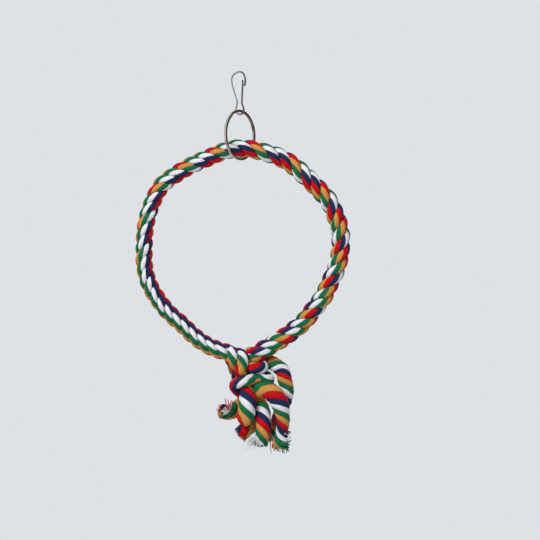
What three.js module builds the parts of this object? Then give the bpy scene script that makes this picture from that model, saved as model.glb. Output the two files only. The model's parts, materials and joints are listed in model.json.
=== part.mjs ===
import * as THREE from "three";

// A cotton rope swing for a cage bird. Three laid strands form a hoop to perch in, their ends
// are knotted at the bottom and hang as six loose tails, and a split ring and a wire snap clip
// hang the hoop up. Millimetres, X to the right, Y away from the viewer, Z up. The origin is at
// the inside top of the clip's eye, where the clip hangs on its bar.

// Driving dimensions of the snap clip.
const clipWireDiameter = 1.3;
const clipDrop = 29.8;
const clipEyeWidth = 9.9;
const clipLowerEyeWidth = 5.6;
const gateHingeGap = 0.5;
const gateNoseGap = 0.35;

// Driving dimensions of the split ring.
const ringOuterDiameter = 35.6;
const ringWireHeight = 2;
const ringWireThickness = 0.7;
const ringTurnGap = 0.3;
const ringTurnShare = 1.9;
const ringEndPlayShare = 0.02;
const ringTwistDegrees = 54.7;
const ringSeatGap = 0.4;

// Driving dimensions of the rope.
const ropeDiameter = 12.3;
const strandDiameterShare = 0.385;
const tailKnotDiameter = 7;
const tailLooseDiameter = 12;
const jointGap = 0.4;
const ropeSeatGap = 0.3;

// How finely the round shapes are faceted.
const wireSides = 8;
const clipSteps = 52;
const gateSteps = 4;
const ringStepsPerTurn = 34;
const strandSides = 6;
const strandStepsPerTurn = 10;
const tailSides = 8;
const tailSteps = 22;
const arcLengthDivisions = 2400;

const strandColours = [0x1f7a4a, 0xe9e9f2, 0x1b2a5a];
const tailColours = [0xc0101f, 0xd6963a, 0x1f7a4a, 0x1b2a5a, 0xe9e9f2, 0xc0101f];

function steel() {
  return new THREE.MeshStandardMaterial({ color: 0x9a948e, roughness: 0.28, metalness: 1 });
}

function cotton(colour) {
  return new THREE.MeshStandardMaterial({ color: colour, roughness: 0.95, metalness: 0 });
}

// Rings of points, each wound from its normal to its binormal, joined into one closed solid.
function solidFromRings(rings) {
  const sides = rings[0].length;
  const hubs = [rings[0], rings[rings.length - 1]].map((ring) =>
    ring.reduce((sum, point) => sum.add(point), new THREE.Vector3()).divideScalar(sides),
  );
  const points = [...rings.flat(), ...hubs];
  const startHub = points.length - 2;
  const endHub = points.length - 1;
  const lastRing = (rings.length - 1) * sides;
  const faces = [];
  for (let k = 0; k < sides; k++) {
    const next = (k + 1) % sides;
    for (let a = 0; a < lastRing; a += sides) {
      faces.push(a + k, a + next, a + sides + next);
      faces.push(a + k, a + sides + next, a + sides + k);
    }
    faces.push(startHub, next, k);
    faces.push(endHub, lastRing + k, lastRing + next);
  }
  const geometry = new THREE.BufferGeometry().setFromPoints(points);
  geometry.setIndex(faces);
  return geometry;
}

// A round tube of one thickness along a curve.
function evenTube(curve, steps, sides, diameter) {
  const corners = Array.from({ length: sides }, (_, side) => {
    const turn = (2 * Math.PI * side) / sides;
    return new THREE.Vector2(Math.cos(turn), Math.sin(turn)).multiplyScalar(diameter / 2);
  });
  const section = new THREE.Shape(corners);
  return new THREE.ExtrudeGeometry(section, { steps, extrudePath: curve, bevelEnabled: false });
}

// A round tube along a curve, whose radius changes on the way.
function taperedTube(curve, steps, sides, radiusAt) {
  const { normals, binormals } = curve.computeFrenetFrames(steps, false);
  const rings = normals.map((normal, step) => {
    const share = step / steps;
    const centre = curve.getPointAt(share);
    return Array.from({ length: sides }, (_, side) => {
      const turn = (2 * Math.PI * side) / sides;
      return centre
        .clone()
        .addScaledVector(normal, radiusAt(share) * Math.cos(turn))
        .addScaledVector(binormals[step], radiusAt(share) * Math.sin(turn));
    });
  });
  return solidFromRings(rings);
}

function smoothCurve(rows) {
  const points = rows.map((row) => new THREE.Vector3(...row));
  return new THREE.CatmullRomCurve3(points, false, "centripetal");
}

function named(name, geometry, material) {
  const mesh = new THREE.Mesh(geometry, material);
  mesh.name = name;
  return mesh;
}

// The snap clip is one bent wire. Its outline is given in shares: across, of the width of the
// eye that the point belongs to, and down, of the clip's drop from its top to its lower bend.
const clipWireRadius = clipWireDiameter / 2;
const upperEyeShares = [
  [0.36, 0.335],
  [0.385, 0.24],
  [0.365, 0.15],
  [0.29, 0.07],
  [0.17, 0.02],
  [-0.03, 0],
  [-0.26, 0.022],
  [-0.47, 0.08],
  [-0.585, 0.165],
  [-0.56, 0.27],
  [-0.46, 0.4],
  [-0.33, 0.54],
  [-0.2, 0.68],
];
const lowerEyeShares = [
  [-0.4, 0.79],
  [-0.5, 0.88],
  [-0.44, 0.95],
  [-0.22, 0.99],
  [-0.02, 1],
  [0.2, 0.99],
  [0.42, 0.95],
  [0.47, 0.88],
  [0.34, 0.79],
  [0.22, 0.73],
];
const gateTipShares = [0.2, 0.21];

function clipPoint([across, down], width) {
  return [across * width, 0, clipWireRadius - down * clipDrop];
}

const clipWire = [
  ...upperEyeShares.map((share) => clipPoint(share, clipEyeWidth)),
  ...lowerEyeShares.map((share) => clipPoint(share, clipLowerEyeWidth)),
];
const gateBend = new THREE.Vector3(...clipWire[clipWire.length - 1]);

// The gate is the wire's other end: it springs out until it rests inside the clip's nose.
const noseInside = clipWire[0][0] - clipWireDiameter - gateNoseGap;
const gateTip = new THREE.Vector3(
  Math.min(gateTipShares[0] * clipEyeWidth, noseInside),
  0,
  clipWireRadius - gateTipShares[1] * clipDrop,
);
const gateRise = gateTip.clone().sub(gateBend).normalize();
const gateFoot = gateBend.clone().addScaledVector(gateRise, clipWireRadius + gateHingeGap);

function makeClip() {
  const body = evenTube(smoothCurve(clipWire), clipSteps, wireSides, clipWireDiameter);
  const gateLine = new THREE.LineCurve3(gateFoot, gateTip);
  const gate = evenTube(gateLine, gateSteps, wireSides, clipWireDiameter);
  return [named("clip_body", body, steel()), named("clip_gate", gate, steel())];
}

// The split ring is one flat wire in two turns, which steps across from the rear turn to the
// front one. It hangs in the clip's lower bend, turned away from the hoop's own plane, and its
// corners stay clear of the bend when it swings.
const ringDepth = 2 * ringWireThickness + ringTurnGap;
const ringCornerReach = Math.hypot(ringWireHeight, ringDepth) / 2;
const ringTopWire = -clipDrop + clipWireDiameter + ringSeatGap + ringCornerReach;
const ringWireRadius = (ringOuterDiameter - ringWireHeight) / 2;
const ringCentre = ringTopWire - ringWireRadius;
const ringTwist = THREE.MathUtils.degToRad(ringTwistDegrees);
const ringSide = new THREE.Vector3(-Math.cos(ringTwist), -Math.sin(ringTwist), 0);
const ringAxis = new THREE.Vector3(Math.sin(ringTwist), -Math.cos(ringTwist), 0);
const ringStepShares = { from: 0.86, to: 0.97, first: 0.1 };

function makeSplitRing() {
  const steps = Math.round(ringStepsPerTurn * ringTurnShare);
  const layer = (ringWireThickness + ringTurnGap) / 2;
  const rings = Array.from({ length: steps + 1 }, (_, step) => {
    const turns = (ringTurnShare - ringEndPlayShare) * (step / steps);
    const turn = 2 * Math.PI * (turns + ringStepShares.first);
    const across = THREE.MathUtils.smoothstep(turns, ringStepShares.from, ringStepShares.to);
    const offset = layer * (1 - 2 * across);
    const outward = ringSide.clone().multiplyScalar(Math.sin(turn));
    outward.z = Math.cos(turn);
    const corner = (height, thickness) =>
      new THREE.Vector3(0, 0, ringCentre)
        .addScaledVector(outward, ringWireRadius + (height * ringWireHeight) / 2)
        .addScaledVector(ringAxis, offset + (thickness * ringWireThickness) / 2);
    return [corner(1, 1), corner(1, -1), corner(-1, -1), corner(-1, 1)];
  });
  return named("split_ring", solidFromRings(rings), steel());
}

// The hoop's centreline, clockwise from the left end at the knot, seen from the front, with the
// place where it rests in the ring at zero.
const hoopRoute = [
  [-8.2, -1.2, -143.2],
  [-21.9, 0, -138.3],
  [-32.1, 0, -131.3],
  [-40.7, 0, -123],
  [-49.6, 0, -115.2],
  [-57.1, 0, -105.9],
  [-63.3, 0, -95.5],
  [-66.6, 0, -83.7],
  [-67.1, 0, -71.5],
  [-66.6, 0, -59.4],
  [-64.5, 0, -47.2],
  [-60.2, 0, -35.4],
  [-53.7, 0, -24.7],
  [-42.8, 0, -17],
  [-32.4, 0, -11],
  [-20.9, 0, -6.2],
  [-10, 0, -1.7],
  [0, 0, 0],
  [14.4, 0, -2.1],
  [26.4, 0, -5.8],
  [37, 0, -11.8],
  [46, 0, -19.7],
  [54.3, 0, -28],
  [62.4, 0, -37.2],
  [67.3, 0, -48],
  [70.3, 0, -59.6],
  [70.3, 0, -71.5],
  [67.8, 0, -83.1],
  [63.1, 0, -93.7],
  [58.3, 0, -103.9],
  [51.6, 0, -112.8],
  [44.4, 0, -121.5],
  [35.6, 0, -128.9],
  [26.3, 0, -135.1],
  [16.4, 0.6, -141],
  [11.4, 1.5, -144.3],
];

// Turns of the lay from the hoop's left end, at shares of its length: it is slacker on the right.
const layTurnShares = [
  [0, 0],
  [0.377, 6.667],
  [0.475, 8.333],
  [0.523, 9],
  [0.703, 11.667],
  [0.917, 15],
  [1, 16.336],
];
const strandCount = 3;
const firstStrandTurnShare = 1 / 12;
const strandDiameter = strandDiameterShare * ropeDiameter;
const ropeLayRadius = (ropeDiameter - strandDiameter) / 2;

function layTurnsAt(share) {
  const next = Math.max(1, layTurnShares.findIndex(([at]) => at >= share));
  const [from, turnsFrom] = layTurnShares[next - 1];
  const [to, turnsTo] = layTurnShares[next];
  return THREE.MathUtils.mapLinear(share, from, to, turnsFrom, turnsTo);
}

// One strand of the hoop: it winds round the centreline from the outside, over the front, to
// the inside.
class LaidStrand extends THREE.Curve {
  constructor(centreline, index) {
    super();
    this.centreline = centreline;
    this.index = index;
    this.arcLengthDivisions = arcLengthDivisions;
  }

  getPoint(share, target = new THREE.Vector3()) {
    const along = this.centreline.getTangentAt(share);
    const front = new THREE.Vector3(0, -1, 0);
    front.addScaledVector(along, -front.dot(along)).normalize();
    const outward = new THREE.Vector3().crossVectors(front, along);
    const turns = firstStrandTurnShare + layTurnsAt(share) - this.index / strandCount;
    return target
      .copy(this.centreline.getPointAt(share))
      .addScaledVector(outward, ropeLayRadius * Math.cos(2 * Math.PI * turns))
      .addScaledVector(front, ropeLayRadius * Math.sin(2 * Math.PI * turns));
  }
}

const hoopCentreline = smoothCurve(hoopRoute);
hoopCentreline.arcLengthDivisions = arcLengthDivisions;
const laidStrands = Array.from(
  { length: strandCount },
  (_, index) => new LaidStrand(hoopCentreline, index),
);
const strandSteps = Math.round(strandStepsPerTurn * layTurnShares[layTurnShares.length - 1][1]);

function makeHoopStrands() {
  return laidStrands.map((strand, index) => {
    const tube = evenTube(strand, strandSteps, strandSides, strandDiameter);
    return named("hoop_strand_" + (index + 1), tube, cotton(strandColours[index]));
  });
}

// Each tail goes on from the end of one strand, through the knot, to its cut end. A tail's
// thickness grows from the strand's to the knot's, and again where it hangs loose.
const tails = [
  {
    name: "left_tail_1",
    strand: 2,
    end: 0,
    looseShare: 0.85,
    swellShares: [0.7, 0.88],
    route: [
      [-5.4, -4.8, -141.7],
      [-5.1, -6.6, -144.6],
      [-4.6, -6.6, -148],
      [-3.9, -4.7, -150.8],
      [-3.2, -1, -153.9],
      [-2.7, 2.7, -157.1],
      [-2.8, 6.2, -161],
      [-1, 9.2, -166],
      [4, 10.4, -171.2],
      [6.4, 9.2, -177],
      [8.4, 6.4, -183],
      [9.4, 3.8, -188.4],
      [8.2, 2.2, -192.8],
      [4.4, 0.6, -196.8],
      [0, -0.8, -200.4],
    ],
  },
  {
    name: "left_tail_2",
    strand: 1,
    end: 0,
    looseShare: 0.97,
    swellShares: [0.66, 0.8],
    route: [
      [-3, 2, -143],
      [-0.4, -1.4, -143.4],
      [1.8, -5.6, -144.8],
      [2, -8.4, -148.2],
      [1.5, -8.8, -151.6],
      [0.8, -8.2, -154.4],
      [1, -4.8, -157.3],
      [2.4, -2.2, -161],
      [3.8, -2, -164.6],
      [4.5, -4.4, -168.4],
      [5.3, -8, -172.6],
      [5.5, -9.4, -177],
      [4.8, -9.4, -183],
      [3.5, -8.2, -190.2],
    ],
  },
  {
    name: "left_tail_3",
    strand: 0,
    end: 0,
    looseShare: 1,
    swellShares: [0.52, 0.66],
    route: [
      [-6.8, 1.9, -149],
      [-3.8, 5.6, -151.2],
      [0, 9.2, -154.4],
      [4, 10.4, -158.6],
      [8.6, 9.4, -163.4],
      [11.8, 4.6, -167.2],
      [11.8, -1, -168.7],
      [14, -5.8, -168.7],
      [17.6, -7.8, -168.4],
      [22.5, -9.4, -170.6],
      [27.2, -9.4, -176.4],
      [29.8, -8, -187],
      [29.4, -6.6, -198],
      [28, -5.6, -208],
    ],
  },
  {
    name: "right_tail_1",
    strand: 2,
    end: 1,
    looseShare: 1,
    swellShares: [0.74, 0.84],
    route: [
      [12, 5.6, -147.8],
      [14.4, 4.2, -151],
      [15.8, 0.2, -153.2],
      [13, -4.4, -153.8],
      [8.8, -6, -153.4],
      [6.2, -2.8, -153],
      [5.8, 1.4, -155],
      [9, 4.4, -157.2],
      [13.6, 4.8, -158.2],
      [18.2, 3.4, -159.8],
      [20.2, -0.4, -161.6],
      [17.4, -4, -161.8],
      [13.2, -5.2, -161.2],
      [9.4, -6.8, -161],
      [5.8, -9.6, -161.8],
      [2.2, -11, -162.8],
      [-1.4, -9.2, -163.8],
      [-3.5, -5, -165],
      [-3.3, -0.8, -167.2],
      [-0.4, 2.2, -170.2],
      [4.6, 2.6, -172.8],
      [9.4, 1.8, -175.4],
      [13.4, -0.6, -178.6],
      [15.8, -4, -184],
      [16.4, -6.4, -190.8],
      [16, -7, -198],
      [14.4, -6.8, -206],
    ],
  },
  {
    name: "right_tail_2",
    strand: 1,
    end: 1,
    looseShare: 0.9,
    swellShares: [0.76, 0.9],
    route: [
      [10.6, -1.4, -147.4],
      [8, -1.6, -147.3],
      [5.2, -0.8, -147],
      [3.4, 1.8, -147],
      [0.5, 6.2, -146.1],
      [-3, 10.2, -145.5],
      [-5.4, 13.4, -150],
      [-4.6, 16, -155.4],
      [-1.6, 17.6, -161],
      [1.8, 18, -167],
      [2.6, 17.8, -173],
      [1.2, 15.6, -178.4],
      [-1.6, 11, -182.2],
      [-4.8, 6.2, -184.4],
      [-8.6, 2.4, -185],
      [-12.6, -0.4, -184],
    ],
  },
  {
    name: "right_tail_3",
    strand: 0,
    end: 1,
    looseShare: 0.72,
    swellShares: [0.6, 0.9],
    route: [
      [7.8, 1.6, -142.2],
      [6.6, 4.2, -142.8],
      [6.4, 7.8, -144.4],
      [8.2, 11.6, -147.6],
      [13, 12.4, -150.4],
      [20, 8.4, -149.9],
      [24.8, 4.6, -151.9],
      [29.8, 2, -156.2],
      [31.4, 0.6, -162.4],
      [32.8, 0.6, -168.6],
      [32.2, 2.8, -175],
      [28.6, 4.8, -184],
      [25.4, 4.8, -194],
      [23.4, 4.2, -204],
    ],
  },
];
const tailLeadDiameterShare = 0.4;
const tailStartSwellShare = 0.3;
const cutEndShares = { from: 0.96, size: 0.78 };

function makeTail(tail, index) {
  const strand = laidStrands[tail.strand];
  const outward = strand.getTangentAt(tail.end).multiplyScalar(tail.end ? 1 : -1);
  const strandEnd = strand.getPointAt(tail.end);
  const start = strandEnd.clone().addScaledVector(outward, jointGap);
  const lead = start.clone().addScaledVector(outward, tailLeadDiameterShare * strandDiameter);
  const curve = smoothCurve([start.toArray(), lead.toArray(), ...tail.route]);
  const { smoothstep, lerp } = THREE.MathUtils;
  const radiusAt = (share) => {
    const knot = lerp(strandDiameter, tailKnotDiameter, smoothstep(share, 0, tailStartSwellShare));
    const swell = smoothstep(share, ...tail.swellShares);
    const loose = lerp(knot, tail.looseShare * tailLooseDiameter, swell);
    return (loose / 2) * lerp(1, cutEndShares.size, smoothstep(share, cutEndShares.from, 1));
  };
  const tube = taperedTube(curve, tailSteps, tailSides, radiusAt);
  return named(tail.name, tube, cotton(tailColours[index]));
}

// The hoop's rope rests on the inside bottom of the ring.
const rope = new THREE.Group();
const ringInsideBottom = ringCentre - ringOuterDiameter / 2 + ringWireHeight;
rope.position.z = ringInsideBottom + ropeSeatGap + ropeDiameter / 2;
rope.add(...makeHoopStrands(), ...tails.map(makeTail));

const birdSwing = new THREE.Group();
birdSwing.add(...makeClip(), makeSplitRing(), rope);

export default birdSwing;
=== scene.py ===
# %% [markdown]
# # A cotton rope swing for a cage bird
# A hoop of laid cotton rope hangs from a split ring and a wire snap clip. Its two ends meet at
# the bottom in a knot, and their six strands hang on as loose tails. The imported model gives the
# places and the joints; this script gives each piece its shape in cotton and steel. All of it
# is in metres, +Z up, with the origin at the inside top of the clip's eye.

# %% The frame
import json
import math

import bmesh
import bpy
import numpy as np
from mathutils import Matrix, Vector


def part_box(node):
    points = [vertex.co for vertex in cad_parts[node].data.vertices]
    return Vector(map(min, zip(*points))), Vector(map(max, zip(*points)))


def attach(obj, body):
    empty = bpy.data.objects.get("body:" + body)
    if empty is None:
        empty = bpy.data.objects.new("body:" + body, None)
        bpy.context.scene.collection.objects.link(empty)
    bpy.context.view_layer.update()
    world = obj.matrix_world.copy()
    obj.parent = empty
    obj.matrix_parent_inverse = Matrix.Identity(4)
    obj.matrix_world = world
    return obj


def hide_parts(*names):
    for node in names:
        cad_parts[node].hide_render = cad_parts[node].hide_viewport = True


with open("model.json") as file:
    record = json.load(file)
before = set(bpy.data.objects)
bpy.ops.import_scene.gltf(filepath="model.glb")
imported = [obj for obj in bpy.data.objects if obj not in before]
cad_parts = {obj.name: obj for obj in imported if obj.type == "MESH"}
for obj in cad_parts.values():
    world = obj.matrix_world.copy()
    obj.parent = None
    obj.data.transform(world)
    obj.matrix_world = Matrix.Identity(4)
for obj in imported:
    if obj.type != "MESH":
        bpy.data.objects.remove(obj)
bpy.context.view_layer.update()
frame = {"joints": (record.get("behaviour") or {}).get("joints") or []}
MM = 0.001
TURN = 2 * math.pi

# %% [markdown]
# ## The camera
# The photograph looks straight at the hoop from a little over a metre, with a long lens. A pixel
# is 0.70 mm in the hoop's own plane, so the lens follows from the distance.

# %% The camera
PHOTO_SIZE = 540
PIXEL = 0.70 * MM
CLIP_PIXEL = (240, 72.7)
CAMERA_DISTANCE = 1.25
SENSOR_WIDTH = 36

middle_x = PIXEL * (PHOTO_SIZE / 2 - CLIP_PIXEL[0])
middle_z = PIXEL * (CLIP_PIXEL[1] - PHOTO_SIZE / 2)
lens = bpy.data.cameras.new("camera")
lens.sensor_width = SENSOR_WIDTH
lens.lens = SENSOR_WIDTH * CAMERA_DISTANCE / (PHOTO_SIZE * PIXEL)
camera = bpy.data.objects.new("camera", lens)
camera.location = (middle_x, -CAMERA_DISTANCE, middle_z)
camera.rotation_euler = (math.radians(90), 0, 0)
bpy.context.scene.collection.objects.link(camera)
bpy.context.scene.camera = camera
print(f"camera: {lens.lens:.0f} mm lens at {CAMERA_DISTANCE} m")

# %% [markdown]
# ## Lines through given points
# A rope is best drawn as a line first and given its thickness afterwards. The line is a
# centripetal Catmull-Rom curve, because it passes through every point and doesn't overshoot
# where the points are unevenly spaced. It is then cut into even steps. A tube also needs a
# direction at every step to count its angles from. Those normals are carried along the line,
# each leaned over just enough to stay square to it, so that they don't turn round it.

# %% Lines
CURVE_STEPS = 48


def smooth_line(points):
    """A curve through the points, in CURVE_STEPS steps from each to the next."""
    rows = np.array(points, float)
    rows = np.vstack([2 * rows[0] - rows[1], rows, 2 * rows[-1] - rows[-2]])
    share = np.linspace(0, 1, CURVE_STEPS, endpoint=False)[:, None]
    stretches = []
    for p0, p1, p2, p3 in zip(rows, rows[1:], rows[2:], rows[3:]):
        d0, d1, d2 = (math.sqrt(np.linalg.norm(b - a)) for a, b in ((p0, p1), (p1, p2), (p2, p3)))
        leave = d1 * ((p1 - p0) / d0 - (p2 - p0) / (d0 + d1) + (p2 - p1) / d1)
        arrive = d1 * ((p2 - p1) / d1 - (p3 - p1) / (d1 + d2) + (p3 - p2) / d2)
        square = 3 * (p2 - p1) - 2 * leave - arrive
        cube = 2 * (p1 - p2) + leave + arrive
        stretches.append(p1 + leave * share + square * share**2 + cube * share**3)
    return np.vstack([*stretches, rows[-2]])


def travelled(line):
    """How far along the line each of its points is."""
    steps = np.linalg.norm(np.diff(line, axis=0), axis=1)
    return np.concatenate([[0], np.cumsum(steps)])


def at_places(places, known_places, rows):
    """The rows' values at any places, from the places where they are known."""
    columns = [np.interp(places, known_places, rows[:, axis]) for axis in range(3)]
    return np.stack(columns, axis=-1)


def even_line(points, steps):
    line = smooth_line(points)
    done = travelled(line)
    return at_places(np.linspace(0, done[-1], steps + 1), done, line)


def unit(rows):
    return rows / np.linalg.norm(rows, axis=-1, keepdims=True)


def directions(line):
    return unit(np.gradient(line, axis=0))


def framed(line, first_normal):
    """The line with its directions, and with normals that don't turn round it."""
    along = directions(line)
    normals = [first_normal]
    for direction in along[1:]:
        normal = normals[-1] - direction * np.dot(normals[-1], direction)
        normals.append(normal / np.linalg.norm(normal))
    normals = np.array(normals)
    normals = unit(normals - along * np.sum(normals * along, axis=1, keepdims=True))
    return dict(line=line, along=along, normals=normals, binormals=np.cross(along, normals))


def round_line(course, step, angle, reach):
    """The point at an angle round the line's step, as far out as it reaches."""
    return (course["line"][step]
            + course["normals"][step] * (reach * np.cos(angle))[..., None]
            + course["binormals"][step] * (reach * np.sin(angle))[..., None])


# %% [markdown]
# ## The rope's route
# The hoop hangs in the ring by its top, and its two ends run into the knot. Its points are the
# centreline that the model was built on, clockwise from the left end as seen from the front.

# %% The rope's route
def joint_named(name):
    return next(joint for joint in frame["joints"] if joint["name"] == name)


rope_place = np.array(joint_named("hoop_swing")["pos_m"])


def rope_points(rows):
    """Places in the frame, from millimetres off the point where the hoop hangs."""
    return rope_place + np.array(rows, float) * MM


hoop_route = rope_points([
    (-8.2, -1.2, -143.2), (-21.9, 0, -138.3), (-32.1, 0, -131.3), (-40.7, 0, -123),
    (-49.6, 0, -115.2), (-57.1, 0, -105.9), (-63.3, 0, -95.5), (-66.6, 0, -83.7),
    (-67.1, 0, -71.5), (-66.6, 0, -59.4), (-64.5, 0, -47.2), (-60.2, 0, -35.4),
    (-53.7, 0, -24.7), (-42.8, 0, -17), (-32.4, 0, -11), (-20.9, 0, -6.2),
    (-10, 0, -1.7), (0, 0, 0), (14.4, 0, -2.1), (26.4, 0, -5.8),
    (37, 0, -11.8), (46, 0, -19.7), (54.3, 0, -28), (62.4, 0, -37.2),
    (67.3, 0, -48), (70.3, 0, -59.6), (70.3, 0, -71.5), (67.8, 0, -83.1),
    (63.1, 0, -93.7), (58.3, 0, -103.9), (51.6, 0, -112.8), (44.4, 0, -121.5),
    (35.6, 0, -128.9), (26.3, 0, -135.1), (16.4, 0.6, -141), (11.4, 1.5, -144.3),
])
HOOP_STEPS = 1000
hoop_line = even_line(hoop_route, HOOP_STEPS)
hoop_places = travelled(hoop_line)
hoop_length = hoop_places[-1]
print(f"hoop: {1000 * hoop_length:.0f} mm of rope")

# %% [markdown]
# ## Three strands that lie round each other
# A laid rope is three strands wound round one line, each pressed flat against its two
# neighbours. A strand could be an array of rings bent by modifiers, but its faces would then
# cut through its neighbours. Here it is drawn in a straight rope first, where the plane that
# two strands share is easy to write down, and that straight rope is bent along the hoop.
# The yarns in a strand turn the other way round, so on the surface they run along the rope.

# %% Sizes of the rope
STRANDS = 3
LAY_RADIUS = 3.25 * MM
STRAND_RADIUS = 3.15 * MM
FIRST_TURN = 1 / 12
FRONT_TURN = 1 / 4 - FIRST_TURN
YARN_TURNS_PER_LAY = -2

# How many turns the lay has made, and how full the rope is, at shares of the hoop.
LAY_SHARES = [0, 0.377, 0.475, 0.523, 0.703, 0.917, 1]
LAY_TURNS = [0, 6.667, 8.333, 9, 11.667, 15, 16.336]
FULLNESS_SHARES = [0, 0.2, 0.45, 0.6, 1]
FULLNESS = [0.97, 0.95, 0.98, 1.05, 1.04]

# A strand winds, so it is about this much longer than its rope.
STRAND_PER_ROPE = 1.33
strand_length = hoop_length * STRAND_PER_ROPE

# The bundles of yarn in a strand, in their order round it, as linear colours.
YARN_COLOURS = {
    "tan": (0.66, 0.31, 0.07),
    "green": (0.010, 0.160, 0.068),
    "white": (0.88, 0.88, 0.91),
    "navy": (0.018, 0.029, 0.092),
    "red": (0.60, 0.004, 0.012),
}
BUNDLES = len(YARN_COLOURS)

# Where the white yarn faces at the front of every strand, in degrees inward from the middle,
# at chosen turns of the lay.
WHITE_FACING = [
    ([0, 3, 4, 5, 6, 10, 11, 12, 13, 14, 15, 16],
     [28, 8, 33, 58, 112, 115, 129, 100, 66, 38, 0, -30]),
    ([0, 1, 2, 5, 6, 7, 8, 9, 11, 13, 14, 15, 16],
     [34, 16, -21, -48, -15, -20, -41, -57, -72, -115, -144, -210, -270]),
    ([0, 1, 2, 4, 5, 6, 7, 8, 9, 10, 11, 12, 13, 14, 15],
     [30, 16, -3, -12, -27, -12, -45, -72, -90, -120, -200, -213, -267, -297, -330]),
]
print(f"rope: {LAY_TURNS[-1]:.1f} turns of {STRANDS} strands, {1000 * strand_length:.0f} mm each")

# %% [markdown]
# ## One grid for every tube
# Strands, tails, yarns and wires are all tubes. Each starts as a flat grid from bmesh, so that
# its faces and its UV map are there at once: u goes round the tube and v along it. A function
# then says where each point of the grid lies, the seam is merged and the ends are closed.

# %% Tubes from a grid
MERGE_DISTANCE = 1e-7


def new_sheet():
    sheet = bmesh.new()
    return sheet, sheet.loops.layers.uv.new("yarn")


def add_grid(sheet, map_layer, sides, steps, surface, map_place):
    """Adds one rolled grid; surface and map_place take the shares round it and along it."""
    made = bmesh.ops.create_grid(sheet, x_segments=sides, y_segments=steps, size=0.5)["verts"]
    flat = np.array([vertex.co for vertex in made])
    around, share = flat[:, 0] + 0.5, flat[:, 1] + 0.5
    places = surface(around, share)
    map_places = np.stack(map_place(around, share), axis=1)
    for vertex, map_spot, place in zip(made, map_places, places):
        for loop in vertex.link_loops:
            loop[map_layer].uv = map_spot
        vertex.co = place


def closed_piece(name, sheet):
    """Merges the seams, closes the ends and makes an object of it."""
    bmesh.ops.remove_doubles(sheet, verts=sheet.verts, dist=MERGE_DISTANCE)
    rims = [edge for edge in sheet.edges if edge.is_boundary]
    bmesh.ops.holes_fill(sheet, edges=rims, sides=0)
    bmesh.ops.recalc_face_normals(sheet, faces=sheet.faces)
    mesh = bpy.data.meshes.new(name)
    sheet.to_mesh(mesh)
    sheet.free()
    mesh.shade_smooth()
    piece = bpy.data.objects.new(name, mesh)
    bpy.context.scene.collection.objects.link(piece)
    print(f"{name}: {len(mesh.polygons)} faces")
    return piece


def tube(name, sides, steps, surface, length, mirrored=False):
    """A piece of one tube; a mirrored map counts the way round from the other side."""
    def map_place(around, share):
        return (1 - around if mirrored else around), share * length / MM

    sheet, map_layer = new_sheet()
    add_grid(sheet, map_layer, sides, steps, surface, map_place)
    return closed_piece(name, sheet)


# %% The hoop's strands
FRONT = np.array([0, -1.0, 0])
LOBE_DEPTH_SHARE = 0.05
LOBE_MIDDLE_SHARE = 0.7
SMALL_SHARE = 1e-4
HOOP_SIDES = 60
STRAND_STEPS = 900

hoop_along = directions(hoop_line)
hoop_front = unit(FRONT - hoop_along * (hoop_along @ FRONT)[:, None])
hoop_outward = np.cross(hoop_front, hoop_along)


def on_hoop(places, rows):
    return at_places(places, hoop_places, rows)


def lay_turns(share):
    return np.interp(share, LAY_SHARES, LAY_TURNS)


def yarn_angle(index, share):
    """How far the strand's first yarn boundary is turned from facing outwards."""
    turns = lay_turns(share) - FRONT_TURN - index / STRANDS
    at_turns, degrees = WHITE_FACING[index]
    white = np.radians(np.interp(turns, at_turns, degrees))
    return white + TURN * YARN_TURNS_PER_LAY * turns - math.pi


def lobed(around, depth):
    """The section's swell over each of its bundles of yarn."""
    return 1 + depth * (np.abs(np.sin(BUNDLES * math.pi * around)) - LOBE_MIDDLE_SHARE)


def strand_at(index, share):
    """A strand's centre, directions, slant and lay at shares of the hoop."""
    share = np.asarray(share, float)
    size = np.interp(share, FULLNESS_SHARES, FULLNESS)
    turn = TURN * (FIRST_TURN + lay_turns(share) - index / STRANDS)
    places = share * hoop_length
    outward, front = on_hoop(places, hoop_outward), on_hoop(places, hoop_front)
    cos, sin = np.cos(turn)[..., None], np.sin(turn)[..., None]
    radial = outward * cos + front * sin
    ahead, back = lay_turns(share + SMALL_SHARE), lay_turns(share - SMALL_SHARE)
    turns_per_metre = (ahead - back) / (2 * SMALL_SHARE * hoop_length)
    return dict(
        centre=on_hoop(places, hoop_line) + radial * (LAY_RADIUS * size)[..., None],
        radial=radial,
        sideways=-outward * sin + front * cos,
        along=on_hoop(places, hoop_along),
        slant=np.arctan(TURN * LAY_RADIUS * size * turns_per_metre),
        turn=turn,
        size=size,
        rate=turns_per_metre * TURN,
    )


def hoop_strand_surface(index):
    """Presses each section flat against its neighbours, then bends it along the hoop."""
    def surface(around, share):
        here = strand_at(index, share)
        angle = TURN * around + yarn_angle(index, share)
        reach = STRAND_RADIUS * here["size"] * lobed(around, LOBE_DEPTH_SHARE)
        outwards = LAY_RADIUS * here["size"] + reach * np.cos(angle)
        sideways = reach * np.sin(angle) * np.cos(here["slant"])
        forwards = -reach * np.sin(angle) * np.sin(here["slant"])
        radius = np.hypot(outwards, sideways)
        drift = here["rate"] * forwards
        limit = math.pi / STRANDS
        swing = np.clip(np.arctan2(sideways, outwards) - drift, -limit, limit)
        turned = here["turn"] + drift + swing
        places = share * hoop_length + forwards
        spoke = (on_hoop(places, hoop_outward) * np.cos(turned)[:, None]
                 + on_hoop(places, hoop_front) * np.sin(turned)[:, None])
        beyond = (places - np.clip(places, 0, hoop_length))[:, None]
        past_end = on_hoop(places, hoop_along) * beyond
        return on_hoop(places, hoop_line) + past_end + spoke * radius[:, None]
    return surface


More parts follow.
